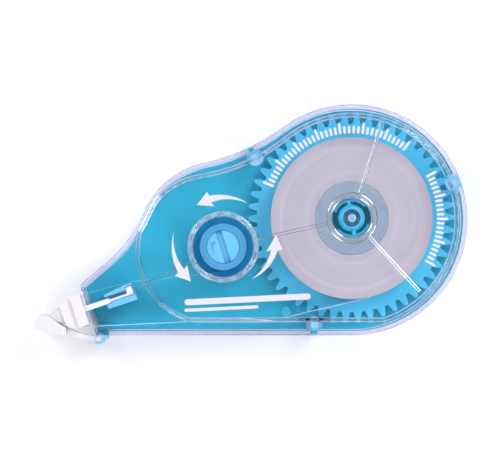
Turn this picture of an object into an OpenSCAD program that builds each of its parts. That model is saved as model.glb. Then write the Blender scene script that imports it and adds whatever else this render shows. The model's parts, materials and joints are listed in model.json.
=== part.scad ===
// Correction tape roller: a flat, drop-shaped tape dispenser that lies on its back.
// Origin: on the supply spool's axis, in the plane of the back face.
// +Z runs through the thickness, from the back face to the clear front, and the tip points to -X.
// Millimetres throughout.

/* [Gear train] */
// Module of the gear pair, pitch diameter per tooth
gear_module = 1; // [0.98:0.005:1]
// Teeth on the supply gear
gear_teeth = 50; // [50:1:50]
// Teeth on the take-up pinion
pinion_teeth = 16; // [16:1:16]
// Pressure angle of the teeth, degrees
pressure_angle = 20; // [20:1:22]
// Play between meshing flanks
backlash = 0.16; // [0.12:0.02:0.2]
// Direction from the supply axis to the take-up axis, degrees
takeup_angle = 192.6; // [191:0.2:194]

/* [Housing outline] */
// Radius of the big round end
big_r = 28.9; // [28.8:0.1:29.2]
// How far the big round end sits below the supply axis
big_drop = 0.45; // [0.3:0.05:0.5]
// Radius of the shoulder over the take-up spool
shoulder_r = 21.6; // [21.2:0.1:22]
// Radius of the hollow between shoulder and big end
waist_r = 50; // [40:1:60]
// Radius of the hollow between shoulder and nose
throat_r = 34; // [31:1:36]
// Slope of the nose's upper edge, degrees
nose_slope = 40.5; // [40:0.5:41]
// Height of the nose above the shank's axis
nose_rise = 5.3; // [5.2:0.1:5.4]

/* [Housing thickness] */
// Height of the raised front face
face_z = 13.8; // [13.8:0.1:14.4]
// Height of the lower border and nose
border_z = 12; // [11.8:0.1:12.2]
// Side wall of the clear shell
wall = 1.1; // [1.1:0.05:1.2]
// Roof of the clear shell
roof = 1.4; // [1.2:0.1:1.4]
// Floor of the back shell
floor_t = 1.4; // [1.2:0.1:1.4]

/* [Tape] */
// Width of the tape
tape_w = 5; // [5:0.1:5]
// Radius of the full roll
roll_r = 20.3; // [18:0.1:20.3]
// Radius of the core that the tape is wound on
core_r = 9.2; // [9:0.1:9.6]
// Thickness that the free tape is drawn with
tape_t = 0.1; // [0.06:0.01:0.12]

/* [Tip] */
// Slope of the applicator's axis, degrees
tip_slope = 18.5; // [18:0.5:19]
// Where the applicator's axis leaves the nose, X
tip_x = -66.3; // [-67:0.1:-66]
// Where the applicator's axis leaves the nose, Y
tip_y = -21.75; // [-22:0.05:-21.5]

/* [Hidden] */
$fn = 64;
arc_step = 4;       // degrees between the points of an outline's arc
eps = 0.01;
gap = 0.1;          // clearance where the two shells snap together
rim_gap = 0.15;     // clearance between the back shell's edge and the clear side wall

// Heights of the stacked parts
gear_z = 2;
gear_t = 2;
core_z = 4.4;
core_h = 5.4;
tape_z = 4.6;
mid_z = tape_z + tape_w / 2;
rib_h = 1;
nose_rib_h = 0.6;
rib_w = 0.8;
shell_z = 0.2;      // lower edge of the clear side wall

// Axes
post_r = 2.1;       // fixed posts that both spools run on
bore_r = 2.2;       // bores running on those posts
pin_r = 1;          // pegs that locate the front shell
socket_r = 1.05;    // their sockets
big_c = [0, -big_drop];
centre_distance = gear_module * (gear_teeth + pinion_teeth) / 2;
takeup = polar(centre_distance, takeup_angle);
guide = [-16.5, -23.5];
guide_r = 1.2;
guide_top = 10.2;
nose_front = 0.15;  // the nose's end stands this far past tip_at

// Raised face of the front shell
face_c = [-35.1, -7.8];
face_end_r = 19;
face_low = -25.95;
face_border = 2.2;
face_least = 0.8;   // least border, where the raised face comes nearest to the outline
face_waist_r = 45;

// Windows and rings in the front shell
window_r = 7.5;
collar_r = 9;
collar_z = 14.9;
hub_ring = [5, 6.4];
hub_ring_z = 10.6;
collar_low = 10;    // lower edge of the window's collar, just over the free tape

// Take-up spool
sleeve_r = 5.85;
sleeve_bore_r = 4.2;
sleeve_top = 13;
knob_top = 12.6;
used_r = 6.15;
slot_angle = 108;

// Clips that hold the shells together: centre, outward direction, tab width, boss radius
clips = [[[-24.2, 15.2], 117, 1.2, 2.1], [[25.9, 8.9], 19, 2.6, 2.4], [[-9.4, -26.7], 270, 1.4, 2]];
tab_z = 5.8;
peg_top = 10;
clip_z = 0.3;
hub_boss_z = 6.2;   // boss of the front shell that sits on the supply post
hub_peg_top = 11.4;
peg_bore_r = 0.55;   // blind bore down the supply post's peg
takeup_post_top = 9.5;
tab_reach = 8;      // long enough for a clip's tab to pass the outline
tab_skin = 0.05;    // a tab's end stays this far inside the outline
step_r = 4.4;
recess_margin = 6;
recess_d = 0.35;

// Grip ridges on the shoulder
ridges = 8;
ridge_from = 104.5;
ridge_to = 151.7;
ridge_r = 0.45;
ridge_z = 2;

// Cap hinge below the nose
hinge = [-63.35, -30.3];
hinge_pin_r = 0.6;
pin_foot = 2.2;
barrel_r = 0.95;
eye_r = 1.4;
eye_bore_r = 0.68;
eye_mouth = 200;
mouth_w = 1;
eye_reach = 3.6;
eye_tab_top = 3.5;
arm_half = 2.3;

// Applicator, in its own frame: [distance out of the nose, height above the axis], radius
bed_low = [[3.4, -2.7], 1.8];
bed_top = [[2.9, 1.4], 1.4];
bed_apex = [[10.1, -0.25], 0.3];
bed_half = 2.7;
bed_root = 1;
bed_taper = 0.35;
ear = 0.5;
ear_t = 0.6;
ear_end = 6.75;
flange_half = 4.2;
flange_end = 3.65;
shank = [[-5.7, 1.2], 0.65];    // along the axis, half height
neck = [[-10.8, -5.6], 0.3];
tail_drop = 0.8;                // of shank and neck below the axis
anchor = -11.2;
anchor_half = [0.85, 1.1];
holder_corner = [[-11.9, 1.3], 0.6];
holder_end = -4.7;
holder_nose = 1;                // the holder's upper edge falls to this height at its end
holder_low = -2.7;
slot_span = [-1.2, 0.4];        // the neck's slot, with room above for it to flex

// ---------------------------------------------------------------- plane geometry

function polar(r, a) = [r * cos(a), r * sin(a)];
function heading(v) = atan2(v[1], v[0]);
function left(v) = [-v[1], v[0]];
function unit(v) = v / norm(v);

// Points of an arc from angle a to angle b, either way round
function arc(c, r, a, b, step = arc_step) =
    let (n = max(1, ceil(abs(b - a) / step)))
    [for (k = [0:n]) c + polar(r, a + (b - a) * k / n)];

// The point at distance p from a and q from b, on the left of the line from a to b
function meet(a, p, b, q) =
    let (d = norm(b - a), e = (b - a) / d, s = (p * p - q * q + d * d) / (2 * d))
    a + s * e + sqrt(p * p - s * s) * left(e);

// The point x with (x - p).n = i and (x - q).m = j
function cross_lines(p, n, i, q, m, j) =
    let (c = n * p + i, d = m * q + j, det = n[0] * m[1] - n[1] * m[0])
    [(c * m[1] - d * n[1]) / det, (n[0] * d - m[0] * c) / det];

// Normal of the line that touches circle a (radius p) and circle b (radius q) on its own side of both.
// turn is +1 or -1 for the side, and a negative q puts circle b on the other side of the line.
function touch(a, p, b, q, turn) = polar(1, heading(b - a) + turn * acos((p - q) / norm(b - a)));

// ---------------------------------------------------------------- housing outlines

out = polar(1, tip_slope + 180);      // out of the nose
up = polar(1, tip_slope + 90);        // across the nose
tip_at = [tip_x, tip_y];
function from_tip(p) = tip_at + p[0] * out + p[1] * up;

slope_dir = polar(1, nose_slope);
nose_top = tip_at + nose_rise * up;
waist_c = meet(takeup, shoulder_r + waist_r, big_c, big_r + waist_r);
throat_c = let (w = nose_top + throat_r * left(slope_dir) - takeup, k = w * slope_dir,
                s = -k - sqrt(k * k - w * w + pow(shoulder_r + throat_r, 2)))
           takeup + w + s * slope_dir;

// The housing's outline, moved inwards by i, and by less at the nose's end, whose wall is thinner
nose_share = 0.65;
function outline(i) = concat(
    [cross_lines(tip_at, out, nose_front - i * nose_share, big_c, [0, -1], big_r - i)],
    [cross_lines(tip_at, out, nose_front - i * nose_share, nose_top, left(slope_dir), -i)],
    arc(throat_c, throat_r + i, nose_slope - 90, heading(takeup - throat_c)),
    arc(takeup, shoulder_r - i, heading(throat_c - takeup), heading(waist_c - takeup)),
    arc(waist_c, waist_r + i, heading(takeup - waist_c), heading(big_c - waist_c)),
    arc(big_c, big_r - i, heading(waist_c - big_c), -90));

face_r = big_r - face_border;
face_waist_c = meet(face_c, face_end_r + face_waist_r, big_c, face_r + face_waist_r);

// The raised face's outline, moved inwards by i
function face_outline(i) =
    let (low = face_low + i, r = face_r - i, end_r = face_end_r - i)
    concat(
        arc(big_c, r, asin((low - big_c[1]) / r), heading(face_waist_c - big_c)),
        arc(face_waist_c, face_waist_r + i, heading(big_c - face_waist_c), heading(face_c - face_waist_c)),
        arc(face_c, end_r, heading(face_waist_c - face_c), 180 - asin((low - face_c[1]) / end_r)));

// The raised face, moved inwards by i
module face_slab(i, low, high) {
    intersection() {
        slab(face_outline(i), low, high);
        slab(outline(face_least + i), low - 1, high + 1);
    }
}

module slab(points, low, high) {
    translate([0, 0, low]) linear_extrude(high - low) polygon(points);
}

module rod(c, r, low, high) {
    translate([c[0], c[1], low]) cylinder(r = r, h = high - low);
}

module ring(c, r_in, r_out, low, high) {
    difference() {
        rod(c, r_out, low, high);
        rod(c, r_in, low - 1, high + 1);
    }
}

// A straight bar from c, pointing along direction a, from distance d to distance e
module bar(c, a, d, e, width, low, high) {
    translate([c[0], c[1], low]) rotate([0, 0, a])
        translate([d, -width / 2, 0]) cube([e - d, width, high - low]);
}

// A box in the applicator's frame, from u to v outwards and from low to high across
module tip_box(u, v, low, high, z_low, z_high) {
    translate([tip_x, tip_y, z_low]) rotate([0, 0, tip_slope])
        translate([-v, low, 0]) cube([v - u, high - low, z_high - z_low]);
}

// ---------------------------------------------------------------- gears

function involute(a) = tan(a) * 180 / PI - a;

// One tooth's outline for the gear of n teeth, its centre at angle 0
function tooth(n) =
    let (r = gear_module * n / 2, base = r * cos(pressure_angle), tip = r + gear_module,
         root = r - 1.25 * gear_module,
         half = (PI * gear_module / 2 - backlash / 2) / r * 90 / PI + involute(pressure_angle),
         start = max(base, root),
         flank = [for (k = [0:5]) start + (tip - start) * k / 5])
    concat(
        [polar(root, -half - (base > root ? 0 : -involute(acos(base / root))))],
        [for (q = flank) polar(q, -half + involute(acos(base / q)))],
        [for (k = [5:-1:0]) polar(flank[k], half - involute(acos(base / flank[k])))],
        [polar(root, half - (base > root ? 0 : involute(acos(base / root))))]);

function turned(points, a) = [for (p = points) [p[0] * cos(a) - p[1] * sin(a), p[0] * sin(a) + p[1] * cos(a)]];

function gear_outline(n, phase) = [for (k = [0:n - 1]) each turned(tooth(n), phase + k * 360 / n)];

// The pinion's gap faces the gear tooth nearest the line between the axes
gear_phase = 0.4;
gear_pitch = 360 / gear_teeth;
tooth_offset = gear_phase + gear_pitch * round((takeup_angle - gear_phase) / gear_pitch) - takeup_angle;
pinion_phase = takeup_angle - 180 - tooth_offset * gear_teeth / pinion_teeth + 180 / pinion_teeth;

// ---------------------------------------------------------------- supply spool

clutch_angle = 100;
hub_r = 2.75;
hub_top = 9.4;
core_bore = 4.85;

module supply_gear() {
    slot = [3.5, 4.8];
    web = 18;
    color([0.36, 0.70, 0.87]) difference() {
        union() {
            slab(gear_outline(gear_teeth, gear_phase), gear_z, gear_z + gear_t);
            rod([0, 0], hub_r, gear_z + gear_t - eps, hub_top);
        }
        rod([0, 0], bore_r, gear_z - 1, hub_top + 1);
        for (s = [0, 180]) slab(sector(slot[0], slot[1], clutch_angle + s + web, clutch_angle + s + 180 - web),
                                gear_z - 1, gear_z + gear_t + 1);
    }
}

// A band between two radii and two angles, round the supply axis
function sector(r_in, r_out, a, b) = concat(arc([0, 0], r_out, a, b), arc([0, 0], r_in, b, a));

// Slip clutch: two curved arms that rub inside the core's bore
module clutch_spring() {
    half_arm = 60;
    arm = [4.2, core_bore - 0.1];
    stem_w = 0.9;
    ring_r = 3.3;
    low = 6.4;
    high = 8.8;
    color([0.30, 0.66, 0.82]) difference() {
        union() {
            rod([0, 0], ring_r, low, high);
            for (s = [0, 180]) {
                bar([0, 0], clutch_angle + s, ring_r - 0.3, arm[0] + 0.2, stem_w, low, high);
                slab(sector(arm[0], arm[1], clutch_angle + s - half_arm, clutch_angle + s + half_arm),
                     low, high);
            }
        }
        rod([0, 0], hub_r + eps, low - 1, high + 1);
    }
}

module supply_core() {
    top = core_z + core_h;
    rim = 1;
    color([0.70, 0.77, 0.83]) difference() {
        rod([0, 0], core_r, core_z, top);
        rod([0, 0], core_bore, core_z - 1, top + 1);
        ring([0, 0], core_bore + rim, core_r - rim, core_z - 1, top - rim);
    }
}

module tape_roll() {
    color([0.76, 0.74, 0.78]) ring([0, 0], core_r + 0.02, roll_r, tape_z, tape_z + tape_w);
}

// ---------------------------------------------------------------- take-up spool

spindle_r = 3.4;
spindle_top = 10.6;
flange_z = 4.15;
flange_t = 0.3;

module takeup_pinion() {
    flange_r = 7.9;
    boss_r = 6.5;
    color([0.03, 0.40, 0.58]) difference() {
        union() {
            translate([takeup[0], takeup[1], 0])
                slab(gear_outline(pinion_teeth, pinion_phase), gear_z, gear_z + gear_t);
            rod(takeup, boss_r, gear_z + gear_t - eps, flange_z + eps);
            rod(takeup, flange_r, flange_z, flange_z + flange_t);
            rod(takeup, spindle_r, flange_z + flange_t - eps, spindle_top);
        }
        rod(takeup, bore_r, gear_z - 1, spindle_top + 1);
    }
}

module takeup_core() {
    color([0.30, 0.62, 0.85]) ring(takeup, sleeve_bore_r, sleeve_r, flange_z + flange_t, sleeve_top);
}

module rewind_knob() {
    foot_z = 5;
    head_t = 1.6;
    slot_w = 1.6;
    slot_d = 0.9;
    knob_r = sleeve_bore_r - 0.04;
    color([0.45, 0.78, 0.93]) difference() {
        rod(takeup, knob_r, foot_z, knob_top);
        rod(takeup, spindle_r + 0.02, foot_z - 1, knob_top - head_t);
        bar(takeup, slot_angle, -knob_r - 1, knob_r + 1, slot_w, knob_top - slot_d, knob_top + 1);
    }
}

module used_tape() {
    color([0.86, 0.85, 0.82]) ring(takeup, sleeve_r + 0.01, used_r, tape_z, tape_z + tape_w);
}

// ---------------------------------------------------------------- free tape

clear = 0.1 + tape_t / 2;   // centre of the free tape stands this far off what it passes
run_clear = 0.15 + tape_t / 2;

function tape_arc(c, r, a, b) = arc(c, r, a, b, 8);

low_c = from_tip(bed_low[0]);
top_c = from_tip(bed_top[0]);
apex_c = from_tip(bed_apex[0]);
corner_c = from_tip(holder_corner[0]);
off_roll = touch([0, 0], roll_r + run_clear, guide, guide_r + clear, 1);
off_guide = touch(guide, guide_r + clear, low_c, bed_low[1] + clear, 1);
off_low = touch(low_c, bed_low[1] + clear, apex_c, bed_apex[1] + clear, 1);
off_apex = touch(apex_c, bed_apex[1] + clear, top_c, bed_top[1] + clear, 1);
off_top = touch(top_c, bed_top[1] + clear, corner_c, holder_corner[1] + clear, 1);
off_corner = touch(corner_c, holder_corner[1] + clear, takeup, -(used_r + run_clear), 1);

function turn_to(a, b) = b + 360 * round((a - b) / 360);   // b, a whole number of turns nearer to a

feed_path = let (a = heading(off_low), b = turn_to(a, heading(off_apex))) concat(
    [(roll_r + run_clear) * off_roll],
    tape_arc(guide, guide_r + clear, heading(off_roll), turn_to(heading(off_roll), heading(off_guide))),
    tape_arc(low_c, bed_low[1] + clear, heading(off_guide), turn_to(heading(off_guide), a)),
    tape_arc(apex_c, bed_apex[1] + clear, a, (a + b) / 2));

return_path = let (a = heading(off_low), b = turn_to(a, heading(off_apex)), c = turn_to(b, heading(off_top)),
                   d = turn_to(c, heading(off_corner))) concat(
    tape_arc(apex_c, bed_apex[1] + clear, (a + b) / 2, b),
    tape_arc(top_c, bed_top[1] + clear, b, c),
    tape_arc(corner_c, holder_corner[1] + clear, c, d),
    [takeup - (used_r + run_clear) * off_corner]);

// A strip of thickness t that follows a path
function ribbon(path, t) =
    let (n = len(path) - 1,
         side = [for (k = [0:n]) t / 2 * left(unit(path[min(k + 1, n)] - path[max(k - 1, 0)]))])
    concat([for (k = [0:n]) path[k] + side[k]], [for (k = [n:-1:0]) path[k] - side[k]]);

module feed_tape() {
    color([0.97, 0.97, 0.98]) slab(ribbon(feed_path, tape_t), tape_z, tape_z + tape_w);
}

module return_tape() {
    color([0.80, 0.82, 0.84]) slab(ribbon(return_path, tape_t), tape_z, tape_z + tape_w);
}

// ---------------------------------------------------------------- applicator tip and cap

// The belt round the applicator's three circles, each grown by g, from the low one to the top one
function bed_outline(g) =
    let (a = touch(low_c, bed_low[1] + g, apex_c, bed_apex[1] + g, 1),
         b = touch(apex_c, bed_apex[1] + g, top_c, bed_top[1] + g, 1),
         ha = heading(a), hb = turn_to(ha, heading(b)))
    concat(
        [from_tip([bed_root, bed_low[0][1] - bed_low[1] - g + bed_taper])],
        arc(low_c, bed_low[1] + g, tip_slope - 90, turn_to(tip_slope - 90, ha), 12),
        arc(apex_c, bed_apex[1] + g, turn_to(tip_slope - 90, ha), turn_to(tip_slope - 90, hb), 12),
        arc(top_c, bed_top[1] + g, hb, turn_to(hb, tip_slope + 90), 12),
        [from_tip([bed_root, bed_top[0][1] + bed_top[1] + g - bed_taper])]);

// A part of the applicator's tail, as wide as the tape, its middle at height h
module tail_box(span, half, h) {
    tip_box(span[0], span[1], h - half, h + half, mid_z - tape_w / 2, mid_z + tape_w / 2);
}

module applicator_tip() {
    reach = 10;
    color([0.95, 0.93, 0.96]) {
        slab(bed_outline(0), mid_z - bed_half, mid_z + bed_half);
        intersection() {
            union() for (z = [mid_z - bed_half - ear_t, mid_z + bed_half - eps])
                slab(bed_outline(ear), z, z + ear_t + eps);
            tip_box(bed_root - 0.5, ear_end, -reach, reach, 0, border_z + 1);
        }
        intersection() {
            slab(bed_outline(ear - 0.1), mid_z - flange_half, mid_z + flange_half);
            difference() {
                tip_box(bed_root - 0.5, flange_end, -reach, reach, 0, border_z + 1);
                tip_box(0, flange_end + 1, -reach, reach, mid_z - bed_half, mid_z + bed_half);
            }
        }
        tail_box(shank[0], shank[1], -tail_drop);
        tail_box(neck[0], neck[1], -tail_drop);
        tail_box([anchor - anchor_half[0], anchor + anchor_half[0]], anchor_half[1], 0);
    }
}

// Side view of the cap: the end, the arm's upper edge back to the hinge, its lower edge and the floor
cap_side = [[-79.8, -27.6], [-79.2, -25.6], [-77.95, -24.3], [-76.2, -24.3], [-75.1, -25.2],
            [-72.6, -26.9], [-69.65, -28.3], [-66.5, -29.35], [-63.35, -29.6],
            [-63.35, -30.8], [-69, -29.95], [-73.4, -29.35], [-76.7, -28.65]];
cap_inside = [[-78.95, -27.4], [-78.3, -25.7], [-77.3, -23], [-71.5, -23], [-71.5, -28.85], [-73.5, -28.5],
              [-76.7, -27.85]];
cap_wall = 0.7;
trough_half = 3.6;
arm_start = -71.5;

module tip_cap() {
    color([0.96, 0.95, 0.98, 0.8]) {
        difference() {
            slab(cap_side, mid_z - trough_half - cap_wall, mid_z + trough_half + cap_wall);
            slab(cap_inside, mid_z - trough_half, mid_z + trough_half);
            for (z = [mid_z - trough_half - 2, mid_z + arm_half])
                translate([arm_start, hinge[1] - 3, z]) cube([12, 8, trough_half + 2 - arm_half]);
        }
        rod(hinge, barrel_r, mid_z - arm_half, mid_z + arm_half);
        rod(hinge, hinge_pin_r, pin_foot, border_z - 0.2);
    }
}

// Outside of one snap eye of the cap's hinge, with the tab that ties it to its shell, grown by g
module eye_body(low, high, reach, tab_top, g) {
    rod(hinge, eye_r + g, low, high);
    translate([hinge[0] - 0.2 - g, hinge[1], low]) cube([eye_r + 1 + 2 * g, reach + g, tab_top + g - low]);
}

// A snap eye, open towards the cap's arm
module eye(low, high, reach, tab_top) {
    difference() {
        eye_body(low, high, reach, tab_top, 0);
        rod(hinge, eye_bore_r, low - 1, high + 1);
        bar(hinge, eye_mouth, 0, eye_r + 1, mouth_w, low - 1, high + 1);
    }
}

// ---------------------------------------------------------------- shells

// A ring whose wall is rounded at its lower and upper ends
module bead(c, r_in, r_out, low, high) {
    round_r = (r_out - r_in) / 2;
    translate([c[0], c[1], 0]) rotate_extrude() {
        translate([r_in, low + round_r]) square([r_out - r_in, high - low - 2 * round_r]);
        for (z = [low + round_r, high - round_r]) translate([r_in + round_r, z]) circle(r = round_r);
    }
}

// A rib with a rounded lower edge, from c along direction a, from distance d to distance e
module rib(c, a, d, e, low, high) {
    bar(c, a, d, e, rib_w, low + rib_w / 2, high);
    translate([c[0], c[1], low + rib_w / 2]) rotate([0, 90, a])
        translate([0, 0, d]) cylinder(r = rib_w / 2, h = e - d);
}

// Stiffening ribs under the raised face, from the hub's ring, and one from the collar down the nose
module ribs() {
    under = face_z - roof;
    under_nose = border_z - roof;
    inset = 0.5;
    rim_end = 25;
    nose_end = [-13.4, 0];
    hub_angles = [72.5, takeup_angle, 312.7];
    rib_ends = [rim_end, centre_distance - window_r - inset, rim_end];
    nose_rib = takeup - from_tip(nose_end);
    for (k = [0:2])
        rib([0, 0], hub_angles[k], hub_ring[0] + inset, rib_ends[k], under - rib_h, under + eps);
    for (r = [[norm(nose_rib), under_nose], [face_end_r - 2, under]])
        rib(takeup, heading(-nose_rib), window_r + inset, r[0], under_nose - nose_rib_h, r[1] + eps);
}

module grip_ridges() {
    step = (ridge_to - ridge_from) / (ridges - 1);
    for (k = [0:ridges - 1])
        rod(takeup + polar(shoulder_r, ridge_from + step * k), ridge_r, ridge_z, border_z - 1);
}

module front_shell() {
    tip_mouth = [-6.3, 3.6];
    color([0.80, 0.88, 0.96, 0.35]) difference() {
        union() {
            difference() {
                union() {
                    slab(outline(0), shell_z, border_z);
                    face_slab(0, border_z - eps, face_z);
                }
                slab(outline(wall), -1, border_z - roof);
                face_slab(wall, border_z - roof - 1, face_z - roof);
            }
            grip_ridges();
            ribs();
            bead([0, 0], hub_ring[0], hub_ring[1], hub_ring_z, face_z - eps);
            rod([0, 0], post_r, hub_boss_z, face_z - roof + eps);
            bead(takeup, window_r, collar_r, collar_low, collar_z);
            intersection() {
                union() for (c = clips) rod(c[0], c[3], tab_z + 2 * gap, border_z - roof + eps);
                slab(outline(wall / 3), 0, border_z);
            }
            eye(mid_z + arm_half + gap, border_z, eye_reach - 1.4, border_z);
        }
        rod(takeup, window_r, border_z - 3, collar_z + 1);
        rod([0, 0], socket_r, hub_boss_z - 1, hub_peg_top + 2 * gap);
        for (c = clips) {
            rod(c[0], socket_r, -1, peg_top + 2 * gap);
            bar(c[0], c[1], 0, tab_reach, c[2] + 2 * gap, -1, tab_z + gap);
        }
        tip_box(-wall - 1, 1, tip_mouth[0], tip_mouth[1],
                mid_z - bed_half - 2 * gap, mid_z + bed_half + 2 * gap);
        eye_body(-1, mid_z - arm_half, eye_reach, eye_tab_top, gap);
    }
}

module back_shell() {
    color([0.10, 0.62, 0.80]) {
        difference() {
            slab(outline(wall + rim_gap), 0, floor_t);
            back_recess();
        }
        for (c = clips) {
            rod(c[0], pin_r, clip_z, peg_top);
            intersection() {
                bar(c[0], c[1], 0, tab_reach, c[2], clip_z, tab_z);
                slab(outline(tab_skin), 0, tab_z + 1);
            }
        }
        spool_post([0, 0], hub_boss_z - 2 * gap);
        ring([0, 0], peg_bore_r, pin_r, hub_boss_z - 1, hub_peg_top);
        spool_post(takeup, takeup_post_top);
        rod(guide, guide_r, floor_t - eps, guide_top);
        holder();
        eye(clip_z, mid_z - arm_half - gap, eye_reach, eye_tab_top);
    }
}

// A spool's post, with the collar that the spool runs on
module spool_post(c, top) {
    rod(c, post_r, floor_t - eps, top);
    rod(c, step_r, floor_t - eps, gear_z - gap);
}

// Shallow panel in the back face, with round islands left on both spool axes
module back_recess() {
    islands = [[[0, 0], 8], [takeup, 5]];
    difference() {
        slab(outline(recess_margin), -1, recess_d);
        for (k = islands) rod(k[0], k[1], -2, 1);
    }
}

// Socket that holds the applicator's tail: open slot for shank and neck, pocket for the anchor
module holder() {
    play = 0.15;
    cut_z = [mid_z - tape_w / 2 - gap, guide_top + 1];
    block = concat([from_tip([holder_end, holder_nose]),
                    from_tip([holder_end, holder_low]),
                    from_tip([holder_corner[0][0] - holder_corner[1], holder_low])],
                   arc(corner_c, holder_corner[1], tip_slope, tip_slope + 90, 15));
    difference() {
        slab(block, floor_t - eps, guide_top);
        tip_box(anchor - anchor_half[0] - play - gap, anchor + anchor_half[0] + play,
                -anchor_half[1] - play, anchor_half[1] + play, cut_z[0], cut_z[1]);
        tip_box(anchor, holder_end + 1, slot_span[0], slot_span[1], cut_z[0], cut_z[1]);
        tip_box(shank[0][0] - play, holder_end + 1, -tail_drop - shank[1] - play, slot_span[1],
                cut_z[0], cut_z[1]);
    }
}

front_shell();
back_shell();
supply_gear();
clutch_spring();
supply_core();
tape_roll();
takeup_pinion();
takeup_core();
rewind_knob();
used_tape();
feed_tape();
return_tape();
applicator_tip();
tip_cap();
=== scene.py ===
"""Correction tape roller lying on its back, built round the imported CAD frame.
Metres, +Z towards the viewer. A name that ends in _moulded, _wound or _strand is a finished CAD node."""

import json
import math
import random

import bmesh
import bpy
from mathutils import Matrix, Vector
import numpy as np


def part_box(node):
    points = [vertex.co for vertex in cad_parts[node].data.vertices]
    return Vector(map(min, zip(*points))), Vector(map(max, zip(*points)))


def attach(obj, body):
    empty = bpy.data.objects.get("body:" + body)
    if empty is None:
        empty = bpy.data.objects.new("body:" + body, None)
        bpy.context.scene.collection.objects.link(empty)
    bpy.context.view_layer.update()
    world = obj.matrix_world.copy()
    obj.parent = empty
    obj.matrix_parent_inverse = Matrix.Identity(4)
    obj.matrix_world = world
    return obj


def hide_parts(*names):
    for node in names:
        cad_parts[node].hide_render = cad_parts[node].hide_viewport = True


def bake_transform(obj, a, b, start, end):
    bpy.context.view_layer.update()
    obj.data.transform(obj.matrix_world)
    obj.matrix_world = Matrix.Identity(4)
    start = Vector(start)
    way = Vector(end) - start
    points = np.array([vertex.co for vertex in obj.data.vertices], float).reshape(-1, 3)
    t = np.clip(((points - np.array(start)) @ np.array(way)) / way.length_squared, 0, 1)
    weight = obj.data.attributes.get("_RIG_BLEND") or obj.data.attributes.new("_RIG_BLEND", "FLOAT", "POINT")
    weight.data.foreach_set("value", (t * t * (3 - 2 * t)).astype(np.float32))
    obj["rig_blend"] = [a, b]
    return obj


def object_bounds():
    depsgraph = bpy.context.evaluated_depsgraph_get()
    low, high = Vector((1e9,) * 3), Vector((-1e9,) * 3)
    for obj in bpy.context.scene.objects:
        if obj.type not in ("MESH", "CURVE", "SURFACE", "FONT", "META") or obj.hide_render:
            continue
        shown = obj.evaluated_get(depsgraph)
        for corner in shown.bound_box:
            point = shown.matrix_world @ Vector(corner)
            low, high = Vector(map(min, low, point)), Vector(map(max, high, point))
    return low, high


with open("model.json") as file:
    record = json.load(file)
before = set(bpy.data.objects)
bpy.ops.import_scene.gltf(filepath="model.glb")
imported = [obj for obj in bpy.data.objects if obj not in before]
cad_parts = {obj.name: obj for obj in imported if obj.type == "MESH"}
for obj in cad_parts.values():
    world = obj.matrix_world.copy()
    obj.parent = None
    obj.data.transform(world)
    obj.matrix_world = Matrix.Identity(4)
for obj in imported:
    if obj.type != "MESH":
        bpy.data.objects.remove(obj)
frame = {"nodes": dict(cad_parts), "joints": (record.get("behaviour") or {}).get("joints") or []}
cad_box = [list(corner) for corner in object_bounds()]

MM = 0.001
NEAR = 0.02 * MM                   # slack when heights are compared
HAIR = 0.0001 * MM
SMOOTH_ANGLE = math.radians(36)    # edges sharper than this are drawn sharp
CORNER = math.radians(60)          # edges sharper than this are corners that roll_edge rounds
FLUSH = math.radians(0.5)          # faces that meet at less than this count as one wall
WALL_TILT = 0.3                    # a wall's normal rises or falls by less than this
MIX_FIRST, MIX_SECOND, MIX_RESULT = 6, 7, 2    # the colour sockets of a Mix node

# Places and sizes that the CAD source gives and the frame doesn't
LOW = Vector(cad_box[0])
JOINTS = {joint["name"]: joint for joint in frame["joints"]}
SUPPLY = Vector(JOINTS["supply_spin"]["pos_m"])
TAKEUP = Vector(JOINTS["takeup_spin"]["pos_m"])
HINGE = Vector(JOINTS["cap_hinge"]["pos_m"])
CLIPS = [Vector(place) * MM for place in ((-24.2, 15.2, 0), (25.9, 8.9, 0), (-9.4, -26.7, 0))]
BORDER_TOP = 12 * MM               # the lower border of the clear shell
FACE_TOP = 13.8 * MM               # its raised face
ROOF = 1.4 * MM
WINDOW_RING = (7.4 * MM, 9.1 * MM)
HOLDER_LOW = 4.3 * MM
HOLDER_RIGHT = -50 * MM
FLANGE_LOW = 4.1 * MM
CALM_REACH = 4 * MM                # roundings grow to full size over this distance from a calm point


# ---------------------------------------------------------------- small helpers

def polar(radius, degrees):
    return Vector((math.cos(math.radians(degrees)), math.sin(math.radians(degrees)), 0)) * radius


def new_object(name, bm, crisp=False):
    """Turns a bmesh into a smooth object whose big flats stay flat, because normals are weighted by area.
    crisp keeps every level face exactly flat, which clear plastic needs to be seen through."""
    mesh = bpy.data.meshes.new(name)
    bmesh.ops.recalc_face_normals(bm, faces=bm.faces)
    for face in bm.faces:
        face.smooth = True
    for edge in bm.edges:
        level = {abs(face.normal.z) > 0.99999 for face in edge.link_faces}
        soft = edge.is_manifold and edge.calc_face_angle(0) < SMOOTH_ANGLE
        edge.smooth = soft and not (crisp and len(level) > 1)
    bm.to_mesh(mesh)
    bm.free()
    piece = bpy.data.objects.new(name, mesh)
    bpy.context.scene.collection.objects.link(piece)
    normals = piece.modifiers.new("area_normals", "WEIGHTED_NORMAL")
    normals.keep_sharp = True
    return piece


def cad_copy(node):
    """The CAD node's surface as a clean bmesh: one vertex per corner, and flat pairs of triangles joined."""
    bm = bmesh.new()
    bm.from_mesh(frame["nodes"][node].data)
    bmesh.ops.remove_doubles(bm, verts=bm.verts, dist=0.002 * MM)
    bmesh.ops.join_triangles(bm, faces=bm.faces, angle_face_threshold=math.radians(0.2),
                             angle_shape_threshold=math.radians(180))
    bm.faces.layers.float.new("worn")
    return bm


def sharp_edges(bm, least=35):
    """Convex edges whose two faces meet at more than least degrees."""
    return [e for e in bm.edges
            if e.is_manifold and e.is_convex and e.calc_face_angle(0) > math.radians(least)]


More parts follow.
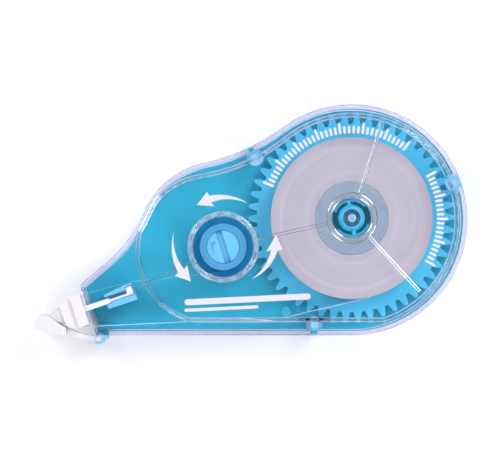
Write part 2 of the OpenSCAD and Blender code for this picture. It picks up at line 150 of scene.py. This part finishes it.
def cut_across(bm, x):
    """Cuts the faces where they cross an upright plane, and takes nothing away."""
    geometry = bm.verts[:] + bm.edges[:] + bm.faces[:]
    bmesh.ops.bisect_plane(bm, geom=geometry, plane_co=(x, 0, 0), plane_no=(1, 0, 0))


def level_edges(bm, height, convex):
    """Corner edges that lie at one height, either convex or hollow."""
    return [e for e in bm.edges if e.is_manifold and e.is_convex == convex
            and e.calc_face_angle(0) > CORNER
            and all(abs(v.co.z - height) < 0.01 * MM for v in e.verts)]


def roll_edge(bm, height, below, convex, radius, calm=(), segments=4):
    """Rounds the level edges at one height, by cutting the walls that meet them into rings and drawing
    these in or out by the radius's profile. Nothing is cut away, so it can't leave a bevel's spikes.
    below tells whether the walls stand below height or above it.
    calm lists points near which the rounding is slight, because the walls there are thin or short."""
    side = -1 if below else 1
    way = -1 if convex else 1

    def depth_of(vert):
        return (vert.co.z - height) * side

    walls = {face for edge in level_edges(bm, height, convex) for face in edge.link_faces
             if abs(face.normal.z) < WALL_TILT and (face.calc_center_median().z - height) * side > 0}
    fresh = walls
    while fresh:
        flush = {edge for face in fresh for edge in face.edges
                 if edge.calc_face_angle(1) < FLUSH and min(map(depth_of, edge.verts)) < radius}
        fresh = {face for edge in flush for face in edge.link_faces
                 if min(map(depth_of, face.verts)) > -NEAR} - walls
        walls |= fresh
    for k in range(segments):
        level = height + side * radius * (1 - math.sin(math.pi / 2 * k / segments))
        parts = {part for face in walls for part in (*face.verts, *face.edges)} | walls
        cut = bmesh.ops.bisect_plane(bm, geom=list(parts), dist=HAIR, plane_co=(0, 0, level),
                                     plane_no=(0, 0, 1))
        walls |= {part for part in cut["geom"] if isinstance(part, bmesh.types.BMFace)}
    bm.normal_update()
    moves = {}
    for vert in {vert for face in walls for vert in face.verts}:
        depth = depth_of(vert)
        facings = [Vector((f.normal.x, f.normal.y, 0)).normalized() for f in vert.link_faces if f in walls]
        facings = [n for k, n in enumerate(facings)
                   if all((n - other).length > 0.01 for other in facings[:k])]
        mitre = sum(facings, Vector())
        if depth < radius - HAIR and mitre.length > 0.3:    # opposite walls cancel out
            mitre.normalize()
            reach = 1 / max(0.5, min(mitre.dot(n) for n in facings))    # at most twice as far
            inset = radius * (1 - math.sqrt(max(0, 1 - (1 - depth / radius) ** 2)))
            near = min([CALM_REACH] + [(vert.co - point).xy.length for point in calm])
            slight = max(0.2, near / (CALM_REACH / 2) - 1)
            moves[vert] = mitre * reach * inset * slight * way
    for vert, move in moves.items():
        vert.co += move


def round_edges(bm, edges, radius, segments=3):
    """Rounds edges, and marks the new faces so that a material can wear them."""
    made = bmesh.ops.bevel(bm, geom=edges, offset=radius, offset_type="OFFSET", segments=segments,
                           profile=0.5, affect="EDGES", clamp_overlap=False)
    worn = bm.faces.layers.float["worn"]
    for face in made["faces"]:
        face[worn] = 1


def lathe(name, centre, profile, segments=144):
    """A closed ring turned round the upright axis through centre, from a closed loop of (radius, height)."""
    bm = bmesh.new()
    bm.faces.layers.float.new("worn")
    turns = []
    for k in range(segments):
        side = polar(1, 360 * k / segments)
        turns.append([bm.verts.new((centre.x + side.x * r, centre.y + side.y * r, z)) for r, z in profile])
    for k in range(segments):
        here, there = turns[k - 1], turns[k]
        for j in range(len(profile)):
            bm.faces.new((here[j - 1], here[j], there[j], there[j - 1]))
    return new_object(name, bm)


def dress(piece, body, slot, material, *nodes):
    """Puts a finished piece on its body, with its material, in place of the CAD nodes it stands for."""
    piece.data.materials.clear()
    piece.data.materials.append(material)
    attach(piece, body)
    for node in nodes:
        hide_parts(node)
    return piece


def moulded(node, body, slot, material, radius=0.15 * MM, segments=3):
    """A CAD node with its sharp edges rounded as a mould leaves them."""
    bm = cad_copy(node)
    round_edges(bm, sharp_edges(bm), radius, segments)
    piece = new_object(node + "_moulded", bm)
    return dress(piece, body, slot, material, node)


def shade_where(piece, material, chosen):
    """Gives the faces whose corners are all chosen a material of their own."""
    piece.data.materials.append(material)
    inside = [chosen(vert.co) for vert in piece.data.vertices]
    for face in piece.data.polygons:
        if all(inside[k] for k in face.vertices):
            face.material_index = len(piece.data.materials) - 1


# ---------------------------------------------------------------- materials

class Nodes:
    """Adds nodes to a material and links them in one call."""

    def __init__(self, name):
        self.material = bpy.data.materials.new(name)
        self.material.use_nodes = True
        self.tree = self.material.node_tree
        self.tree.nodes.clear()
        self.output = self.tree.nodes.new("ShaderNodeOutputMaterial")

    def add(self, kind, values=None, **settings):
        node = self.tree.nodes.new(kind)
        for key, value in settings.items():
            setattr(node, key, value)
        for key, value in (values or {}).items():
            if isinstance(value, bpy.types.NodeSocket):
                self.tree.links.new(value, node.inputs[key])
            else:
                node.inputs[key].default_value = value
        return node

    def noise(self, scale, detail=4, roughness=0.55, stretch=(1, 1, 1)):
        """Noise from 0 to 1 in object space. scale is in features per metre."""
        place = self.add("ShaderNodeTexCoord").outputs["Object"]
        mapped = self.add("ShaderNodeMapping", {"Vector": place, "Scale": stretch}).outputs["Vector"]
        return self.add("ShaderNodeTexNoise", {"Vector": mapped, "Scale": scale, "Detail": detail,
                                               "Roughness": roughness}).outputs["Fac"]

    def spread(self, value, low, high, start=0.3, end=0.7):
        return self.add("ShaderNodeMapRange", {"Value": value, "From Min": start, "From Max": end,
                                               "To Min": low, "To Max": high}).outputs["Result"]

    def blend_colours(self, factor, first, second):
        mix = self.add("ShaderNodeMix", data_type="RGBA")
        self.tree.links.new(factor, mix.inputs["Factor"])
        mix.inputs[MIX_FIRST].default_value = (*first, 1)
        mix.inputs[MIX_SECOND].default_value = (*second, 1)
        return mix.outputs[MIX_RESULT]

    def bump(self, height, strength, distance):
        return self.add("ShaderNodeBump", {"Height": height, "Strength": strength,
                                           "Distance": distance}).outputs["Normal"]

    def wear(self, colour):
        """Lightens the rounded edges in patches."""
        edge = self.add("ShaderNodeAttribute", attribute_name="worn").outputs["Fac"]
        patches = self.spread(self.noise(1100, 4), 0, 0.35, 0.45, 0.7)
        amount = self.add("ShaderNodeMath", {0: edge, 1: patches}, operation="MULTIPLY").outputs[0]
        mix = self.add("ShaderNodeMix", data_type="RGBA")
        self.tree.links.new(amount, mix.inputs["Factor"])
        self.tree.links.new(colour, mix.inputs[MIX_FIRST])
        mix.inputs[MIX_SECOND].default_value = (0.8, 0.85, 0.9, 1)
        return mix.outputs[MIX_RESULT]

    def finish(self, shader):
        self.tree.links.new(shader.outputs[0], self.output.inputs["Surface"])
        return self.material


def shade(colour, factor):
    return tuple(min(1, c * factor) for c in colour)


def painted_glow(colour):
    """Socket values for painted light: a faint even emission that lifts the part's shadows and gaps,
    standing in for light that spreads inside translucent plastic and comes out again in its shadows.
    """
    return {"Emission Color": (*colour, 1), "Emission Strength": 1}


def plastic(name, colour, rough=0.35, vary=0.06, grain=0.12, **sockets):
    """Moulded plastic: cloudy colour, scuffed gloss and a fine moulding grain."""
    n = Nodes(name)
    cloud = n.noise(140, 3)
    base = n.blend_colours(n.spread(cloud, 0, 1), shade(colour, 1 - vary), shade(colour, 1 + vary))
    scuff = n.noise(900, 6, 0.7, (1, 0.25, 1))
    gloss = n.spread(scuff, rough - 0.05, rough + 0.1, 0.35, 0.75)
    fine = n.noise(5200, 3)
    normal = n.bump(fine, grain, 0.02 * MM)
    values = {"Base Color": n.wear(base), "Roughness": gloss, "Normal": normal, "IOR": 1.49}
    values.update(sockets)
    return n.finish(n.add("ShaderNodeBsdfPrincipled", values))


def clear_plastic(name, tint, deep_shade_tint, rough=0.02, clarity=1.0):
    """Clear moulded plastic that lets lamps reach what is inside, with faint handling haze.
    Upright walls and their lower ends take the deeper tint: partly the tint of the longer path through them,
    partly painted shade, as it also darkens these walls as seen and the lamp light they let through,
    standing in for the grey bands and shadows that refraction gives.
    clarity below 1 makes it cloudy."""
    n = Nodes(name)
    haze = n.spread(n.noise(700, 6, 0.7, (1, 0.3, 1)), rough, rough + 0.04, 0.5, 0.85)
    scuffs = n.bump(n.noise(2600, 5, 0.8, (1, 0.12, 1)), 0.04, 0.004 * MM)
    # Painted shade: upright faces and the walls' lower ends take the deeper tint, in the glass and in the
    # lamp light it lets through.
    facing = n.add("ShaderNodeNewGeometry").outputs["Normal"]
    upright = n.add("ShaderNodeSeparateXYZ", {0: facing}).outputs["Z"]
    level = n.spread(n.add("ShaderNodeMath", {0: upright}, operation="ABSOLUTE").outputs[0], 0, 1, 0.2, 0.95)
    wall_end = n.add("ShaderNodeAttribute", attribute_name="wall_end").outputs["Fac"]
    thin = n.add("ShaderNodeMath", {0: level, 1: wall_end}, operation="SUBTRACT", use_clamp=True).outputs[0]
    cloud = n.spread(n.noise(90, 2), 0.9, 1)
    clear = n.add("ShaderNodeMath", {0: thin, 1: cloud}, operation="MULTIPLY").outputs[0]
    colour = n.blend_colours(clear, deep_shade_tint, tint)
    glass = n.add("ShaderNodeBsdfPrincipled", {"Base Color": colour, "Roughness": haze, "Normal": scuffs,
                                               "IOR": 1.49, "Transmission Weight": clarity})
    through = n.add("ShaderNodeBsdfTransparent", {"Color": colour})
    lamp_ray = n.add("ShaderNodeLightPath").outputs["Is Shadow Ray"]
    mix = n.add("ShaderNodeMixShader", {0: lamp_ray, 1: glass.outputs[0], 2: through.outputs[0]})
    return n.finish(mix)


def wound_film(name, colour, centre, lines):
    """Edges of wound film: fine rings round the spool's axis, with slow changes of shade between them."""
    n = Nodes(name)
    place = n.add("ShaderNodeTexCoord").outputs["Object"]
    centred = n.add("ShaderNodeVectorMath", {0: place, 1: centre}, operation="SUBTRACT").outputs[0]
    flat = n.add("ShaderNodeVectorMath", {0: centred, 1: (1, 1, 0)}, operation="MULTIPLY").outputs[0]
    radius = n.add("ShaderNodeVectorMath", {0: flat}, operation="LENGTH").outputs["Value"]
    spun = n.add("ShaderNodeCombineXYZ", {"X": radius}).outputs[0]
    rings = n.add("ShaderNodeTexNoise", {"Vector": spun, "Scale": lines, "Detail": 5,
                                         "Roughness": 0.75}).outputs["Fac"]
    slow = n.add("ShaderNodeTexNoise", {"Vector": spun, "Scale": lines / 12, "Detail": 2}).outputs["Fac"]
    both = n.add("ShaderNodeMath", {0: rings, 1: slow}, operation="ADD").outputs[0]
    base = n.blend_colours(n.spread(both, 0, 1, 0.75, 1.25), shade(colour, 0.86), shade(colour, 1.1))
    gloss = n.spread(rings, 0.32, 0.5)
    normal = n.bump(rings, 0.35, 0.03 * MM)
    values = {"Base Color": base, "Roughness": gloss, "Normal": normal}
    return n.finish(n.add("ShaderNodeBsdfPrincipled", values))


MATERIALS = {
    # The second colour of each clear plastic is partly painted shade, on upright walls and wall ends.
    "clear": clear_plastic("clear_shell", (0.95, 0.945, 0.985), (0.70, 0.72, 0.83)),
    "cloudy": clear_plastic("cloudy_bosses", (0.55, 0.8, 0.92), (0.45, 0.72, 0.88), rough=0.3, clarity=0.55),
    "collar": clear_plastic("collar_bead", (0.92, 0.95, 0.985), (0.72, 0.80, 0.88), rough=0.04, clarity=0.9),
    # teal, holder, gear, clutch and core carry a painted glow: emission that lifts their shadows
    "teal": plastic("teal_back", (0.012, 0.39, 0.51), rough=0.4, **painted_glow((0, 0.035, 0.05))),
    # a paler copy of the back shell's teal: painted light for the holder's lit upper faces
    "holder": plastic("teal_holder_painted_light", (0.10, 0.42, 0.61), rough=0.4, **painted_glow((0.04, 0.08, 0.11))),
    "gear": plastic("gear_blue", (0.075, 0.52, 0.74), rough=0.36, **painted_glow((0, 0.055, 0.07))),
    # a darker copy of the gear blue, with weaker reflections: painted shade for the dark gap round the
    # take-up window
    "pinion": plastic("pinion_painted_shade", (0.001, 0.19, 0.40), rough=0.36, **{"Specular IOR Level": 0.25}),
    "clutch": plastic("clutch_teal", (0.03, 0.42, 0.57), rough=0.32, **painted_glow((0.005, 0.09, 0.12))),
    "core": plastic("core_grey", (0.25, 0.31, 0.36), rough=0.3, **painted_glow((0.005, 0.03, 0.04))),
    "sleeve": plastic("sleeve_blue", (0.08, 0.36, 0.66), rough=0.24),
    "knob": plastic("knob_blue", (0.16, 0.56, 0.86), rough=0.28),
    "milky": plastic("milky_tip", (0.85, 0.82, 0.885), rough=0.28, vary=0.02, grain=0.05,
                     **{"Subsurface Weight": 0.3, "Subsurface Scale": 0.001}),
    "cap": plastic("milky_cap", (0.93, 0.91, 0.96), rough=0.25, vary=0.01, grain=0.01,
                   **{"Transmission Weight": 0.15}),
    "roll": wound_film("wound_tape", (0.43, 0.41, 0.44), tuple(SUPPLY), lines=3800),
    "used": wound_film("wound_carrier", (0.02, 0.16, 0.30), tuple(TAKEUP), lines=5200),
    "coat": plastic("white_coat", (0.80, 0.86, 0.94), rough=0.45, vary=0.03, **{"Alpha": 0.6}),
    "film": plastic("carrier_film", (0.30, 0.62, 0.76), rough=0.28, vary=0.05, **{"Alpha": 0.3}),
    "print": plastic("white_print", (0.76, 0.75, 0.83), rough=0.4, vary=0.02),
    "floor": plastic("studio_floor", (0.93, 0.93, 0.94), rough=0.6, vary=0.005,
                     **{"Emission Color": (1, 1, 1, 1), "Emission Strength": 0.08}),
}


# ---------------------------------------------------------------- pieces

def tape_strand(node, material):
    """A free strand of tape: the CAD strip cut into short lengths, so that it bends with the flexing tip."""
    bm = cad_copy(node)
    low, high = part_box(node)
    step = 1.5 * MM
    for k in range(1, int((high.x - low.x) / step)):
        cut_across(bm, low.x + k * step)
    piece = new_object(node + "_strand", bm)
    piece.data.materials.append(material)
    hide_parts(node)
    bend_end = Vector((-66 * MM, -26 * MM, 0))
    bend_start = bend_end + Vector((26 * MM, 8 * MM, 0))
    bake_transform(piece, "housing", "tip", start=bend_start, end=bend_end)


def flat_mark(name, points, top, thick=0.02 * MM):
    """A printed or raised patch: a thin solid with the given outline."""
    bm = bmesh.new()
    face = bm.faces.new([bm.verts.new((p.x, p.y, top)) for p in points])
    grown = bmesh.ops.extrude_face_region(bm, geom=[face])
    raised = [part for part in grown["geom"] if isinstance(part, bmesh.types.BMVert)]
    bmesh.ops.translate(bm, vec=(0, 0, thick), verts=raised)
    return new_object(name, bm)


def join(name, pieces):
    bm = bmesh.new()
    for piece in pieces:
        bm.from_mesh(piece.data)
        bpy.data.objects.remove(piece)
    return new_object(name, bm)


def arrow(centre, tail_angle, tail_radius, tip_angle, tip_radius, half_width=0.85 * MM, head_half=2 * MM):
    """Outline of a curved arrow round centre, thin at its tail."""
    neck = 0.73
    steps = 14
    inner, outer = [], []
    for k in range(steps + 1):
        t = k / steps
        angle = tail_angle + (tip_angle - tail_angle) * neck * t
        radius = tail_radius + (tip_radius - tail_radius) * neck * t
        inner.append(centre + polar(radius - half_width * t, angle))
        outer.append(centre + polar(radius + half_width * t, angle))
    neck_radius = tail_radius + (tip_radius - tail_radius) * neck
    neck_angle = tail_angle + (tip_angle - tail_angle) * neck
    head = [centre + polar(neck_radius + head_half, neck_angle + 1), centre + polar(tip_radius, tip_angle),
            centre + polar(neck_radius - head_half, neck_angle - 3)]
    return inner[:1] + outer[1:] + head + inner[:0:-1]


def rounded_bar(centre, along, length, height, corner):
    """Outline of a bar with rounded corners. along is its direction in degrees."""
    points = []
    u, v = polar(1, along), polar(1, along + 90)
    for su, sv, start in ((1, 1, 0), (-1, 1, 90), (-1, -1, 180), (1, -1, 270)):
        middle = centre + u * su * (length / 2 - corner) + v * sv * (height / 2 - corner)
        points += [middle + polar(corner, along + start + step) for step in (0, 30, 60, 90)]
    return points


def printed_marks():
    """Printing on the clear face: three turning arrows, two rows of plain ticks and two stripes."""
    top = FACE_TOP + 0.004 * MM
    tick_foot = 21.1 * MM
    outlines = [arrow(TAKEUP, 60, 12.5 * MM, 122, 12.3 * MM), arrow(TAKEUP, 164, 12.8 * MM, 227, 11.8 * MM),
                arrow(TAKEUP, -49, 10.7 * MM, 13, 13.6 * MM)]
    marks = [flat_mark(f"arrow_{k}", points, top) for k, points in enumerate(outlines)]
    dress(join("turning_arrows", marks), "housing", "clear_plastic", MATERIALS["print"])
    ticks = []
    for first, last, count in ((158, 53, 36), (29, -30, 21)):
        for k in range(count):
            angle = first + (last - first) * k / (count - 1)
            length = (2.9 if k % 5 == 0 else 1.9) * MM
            middle = SUPPLY + polar(tick_foot + length / 2, angle)
            ticks.append(rounded_bar(middle, angle, length, height=0.62 * MM, corner=0.3 * MM))
    marks = [flat_mark(f"tick_{k}", points, top) for k, points in enumerate(ticks)]
    dress(join("tick_ring", marks), "housing", "clear_plastic", MATERIALS["print"])
    stripes = [rounded_bar(Vector((-26.1, -20.3, 0)) * MM, 2.8, 31.5 * MM, 1.5 * MM, 0.7 * MM),
               rounded_bar(Vector((-32.6, -22.6, 0)) * MM, 2.8, 18.5 * MM, 0.8 * MM, 0.39 * MM)]
    marks = [flat_mark(f"stripe_{k}", points, top) for k, points in enumerate(stripes)]
    dress(join("printed_stripes", marks), "housing", "clear_plastic", MATERIALS["print"])


def cloudy(place):
    """True in the bosses over the supply post and the clips and in the cap's hook, which aren't polished."""
    rooms = [(SUPPLY, 2.2 * MM, FACE_TOP - ROOF), (HINGE, 2.5 * MM, BORDER_TOP)]
    rooms += [(clip, 2.5 * MM, BORDER_TOP - ROOF) for clip in CLIPS]
    return any((place - centre).xy.length < radius and place.z < top + NEAR
               for centre, radius, top in rooms)


def on_collar(place):
    """True in the bead round the take-up window, above the face, and in its skirt below the roof."""
    return (WINDOW_RING[0] < (place - TAKEUP).xy.length < WINDOW_RING[1]
            and not BORDER_TOP - ROOF - NEAR < place.z < FACE_TOP - NEAR)


def clear_front():
    """The front shell, with the soft corners of a polished mould. Its flat faces are joined, and its long
    walls cut beside the lower clip, so that the slighter rounding there stays near the clip."""
    bm = cad_copy("front_shell")
    bmesh.ops.dissolve_limit(bm, angle_limit=FLUSH / 10, verts=bm.verts, edges=bm.edges)
    for side in (-1, 1):
        cut_across(bm, CLIPS[2].x + side * CALM_REACH)
    roll_edge(bm, BORDER_TOP, below=True, convex=True, radius=0.55 * MM, calm=[HINGE])
    roll_edge(bm, FACE_TOP, below=True, convex=True, radius=0.8 * MM)
    roll_edge(bm, BORDER_TOP, below=False, convex=False, radius=0.2 * MM)
    roll_edge(bm, BORDER_TOP - ROOF, below=False, convex=True, radius=0.35 * MM, calm=CLIPS)
    # The walls' lower ends are marked to take the deeper tint: painted shade along the shell's lower edge.
    wall_end = bm.faces.layers.float.new("wall_end")
    for face in bm.faces:
        face[wall_end] = float(face.calc_center_median().z < MM / 2)
    piece = new_object("clear_front", bm, crisp=True)
    dress(piece, "housing", "clear_plastic", MATERIALS["clear"], "front_shell")
    shade_where(piece, MATERIALS["cloudy"], cloudy)
    shade_where(piece, MATERIALS["collar"], on_collar)


def shells():
    clear_front()
    back = moulded("back_shell", "housing", "teal_plastic", MATERIALS["teal"])
    # The holder's upper faces take the paler teal: painted light on the top of the same moulding.
    shade_where(back, MATERIALS["holder"], lambda place: place.z > HOLDER_LOW and place.x < HOLDER_RIGHT)


def wound(node, core, body, slot, material, centre, ply, seed):
    """Wound tape, whose plies' edges stand a little higher and lower."""
    low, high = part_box(node)
    gap = 0.06 * MM
    rise = 0.05 * MM
    outer = (high.x - low.x) / 2
    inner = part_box(core)[1].x - centre.x + gap
    draw = random.Random(seed)
    count = max(2, round((outer - inner) / ply))
    radii = [outer + (inner - outer) * k / count for k in range(count + 1)]
    steps = [(0.5 if k in (0, count) else draw.random()) * rise for k in range(count + 1)]
    profile = [(r, high.z - step) for r, step in zip(radii, steps)]
    profile += [(r, low.z + step) for r, step in zip(reversed(radii), reversed(steps))]
    dress(lathe(node + "_wound", centre, profile), body, slot, material, node)


def take_up_sleeve():
    """The take-up core, with a turned groove in its rim."""
    low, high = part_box("takeup_core")
    knob_low, knob_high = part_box("rewind_knob")
    gap = 0.03 * MM
    outer = (high.x - low.x) / 2
    inner = (knob_high.x - knob_low.x) / 2 + gap
    edge = 0.22 * MM
    groove = outer - 0.55 * MM
    half = 0.09 * MM
    profile = [(inner, low.z), (inner, high.z - edge), (inner + edge / 3, high.z - edge / 3),
               (inner + edge, high.z), (groove - 2 * half, high.z), (groove - half, high.z - half),
               (groove + half, high.z - half), (groove + 2 * half, high.z), (outer - edge, high.z),
               (outer - edge / 3, high.z - edge / 3), (outer, high.z - edge), (outer, low.z)]
    sleeve = lathe("grooved_sleeve", TAKEUP, profile)
    dress(sleeve, "takeup", "sleeve_plastic", MATERIALS["sleeve"], "takeup_core")


def spools():
    moulded("supply_gear", "gear", "gear_plastic", MATERIALS["gear"], radius=0.12 * MM, segments=2)
    moulded("clutch_spring", "gear", "clutch_plastic", MATERIALS["clutch"], radius=0.08 * MM, segments=2)
    moulded("supply_core", "roll", "core_plastic", MATERIALS["core"])
    wound("tape_roll", "supply_core", "roll", "coated_tape", MATERIALS["roll"], SUPPLY,
          ply=0.3 * MM, seed=5)
    pinion = moulded("takeup_pinion", "takeup", "gear_plastic", MATERIALS["gear"],
                     radius=0.1 * MM, segments=2)
    # The pinion above the flange's foot takes the darker blue: painted shade for the window's gap, which
    # lies in shadow.
    shade_where(pinion, MATERIALS["pinion"], lambda place: place.z > FLANGE_LOW)
    take_up_sleeve()
    moulded("rewind_knob", "takeup", "knob_plastic", MATERIALS["knob"])
    wound("used_tape", "takeup_core", "takeup", "carrier_film", MATERIALS["used"], TAKEUP,
          ply=0.1 * MM, seed=6)
    # The arrow moulded on the knob is drawn in the darker sleeve blue: painted shade standing in for the
    # shadow in its relief.
    outline = arrow(TAKEUP, 226, 2.7 * MM, 146, 2.7 * MM, half_width=0.16 * MM, head_half=0.5 * MM)
    mark = flat_mark("knob_arrow_painted_shade", outline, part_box("rewind_knob")[1].z - 0.005 * MM, thick=0.12 * MM)
    dress(mark, "takeup", "knob_plastic", MATERIALS["sleeve"])


def tip_and_cap():
    moulded("applicator_tip", "tip", "tip_plastic", MATERIALS["milky"], radius=0.06 * MM)
    moulded("tip_cap", "cap", "cap_plastic", MATERIALS["cap"])


# ---------------------------------------------------------------- studio

# Brightness of the soft surroundings, from the horizon up to the zenith, which is dark so that flat
# clear faces stay clear
SKY = ((0, 0.62), (0.25, 0.66), (0.45, 0.75), (0.8, 0.6), (0.93, 0.2), (1, 0.14))


def studio():
    scene = bpy.context.scene
    middle = Vector((-25.5, -1.75, 0)) * MM
    floor_gap = 0.02 * MM
    bpy.ops.mesh.primitive_plane_add(size=3, location=(middle.x, middle.y, LOW.z - floor_gap))
    floor = bpy.context.object
    floor.name = "floor"
    floor.data.materials.append(MATERIALS["floor"])

    world = bpy.data.worlds.new("studio")
    world.use_nodes = True
    tree = world.node_tree
    direction = tree.nodes.new("ShaderNodeTexCoord").outputs["Generated"]
    split = tree.nodes.new("ShaderNodeSeparateXYZ")
    tree.links.new(direction, split.inputs[0])
    ramp = tree.nodes.new("ShaderNodeValToRGB")
    tree.links.new(split.outputs["Z"], ramp.inputs[0])
    stops = ramp.color_ramp.elements
    while len(stops) < len(SKY):
        stops.new(1)
    for stop, (height, light) in zip(stops, SKY):
        stop.position = height
        stop.color = (light * 0.97, light * 0.94, light, 1)
    backdrop = tree.nodes.new("ShaderNodeMix")
    backdrop.data_type = "RGBA"
    tree.links.new(tree.nodes.new("ShaderNodeLightPath").outputs["Is Camera Ray"], backdrop.inputs["Factor"])
    tree.links.new(ramp.outputs["Color"], backdrop.inputs[MIX_FIRST])
    backdrop.inputs[MIX_SECOND].default_value = (0.93, 0.93, 0.95, 1)
    sky = tree.nodes["Background"]
    tree.links.new(backdrop.outputs[MIX_RESULT], sky.inputs["Color"])
    sky.inputs["Strength"].default_value = 1
    scene.world = world

    def soft_light(name, place, size, power):
        lamp = bpy.data.lights.new(name, "AREA")
        lamp.shape = "DISK"
        lamp.size = size
        lamp.energy = power
        thing = bpy.data.objects.new(name, lamp)
        thing.location = middle + Vector(place)
        thing.rotation_euler = (-Vector(place)).to_track_quat("-Z", "Y").to_euler()
        scene.collection.objects.link(thing)

    soft_light("key", (0.42, 0.42, 0.6), 0.3, 2.4)
    soft_light("left", (-0.5, 0.3, 0.5), 0.3, 1.5)
    soft_light("front", (-0.3, -0.5, 0.5), 0.3, 1.2)
    soft_light("right", (0.5, -0.3, 0.5), 0.3, 1.2)

    camera = bpy.data.cameras.new("camera")
    camera.sensor_width = 36
    distance = 0.9
    view_width = 125 * MM
    camera.lens = camera.sensor_width * (distance - BORDER_TOP) / view_width
    camera.clip_start = 0.01
    thing = bpy.data.objects.new("camera", camera)
    thing.location = middle + Vector((0, 0, distance))
    scene.collection.objects.link(thing)
    scene.camera = thing
    scene.view_settings.view_transform = "Standard"


studio()
shells()
spools()
tip_and_cap()
tape_strand("feed_tape", MATERIALS["coat"])
tape_strand("return_tape", MATERIALS["film"])
printed_marks()
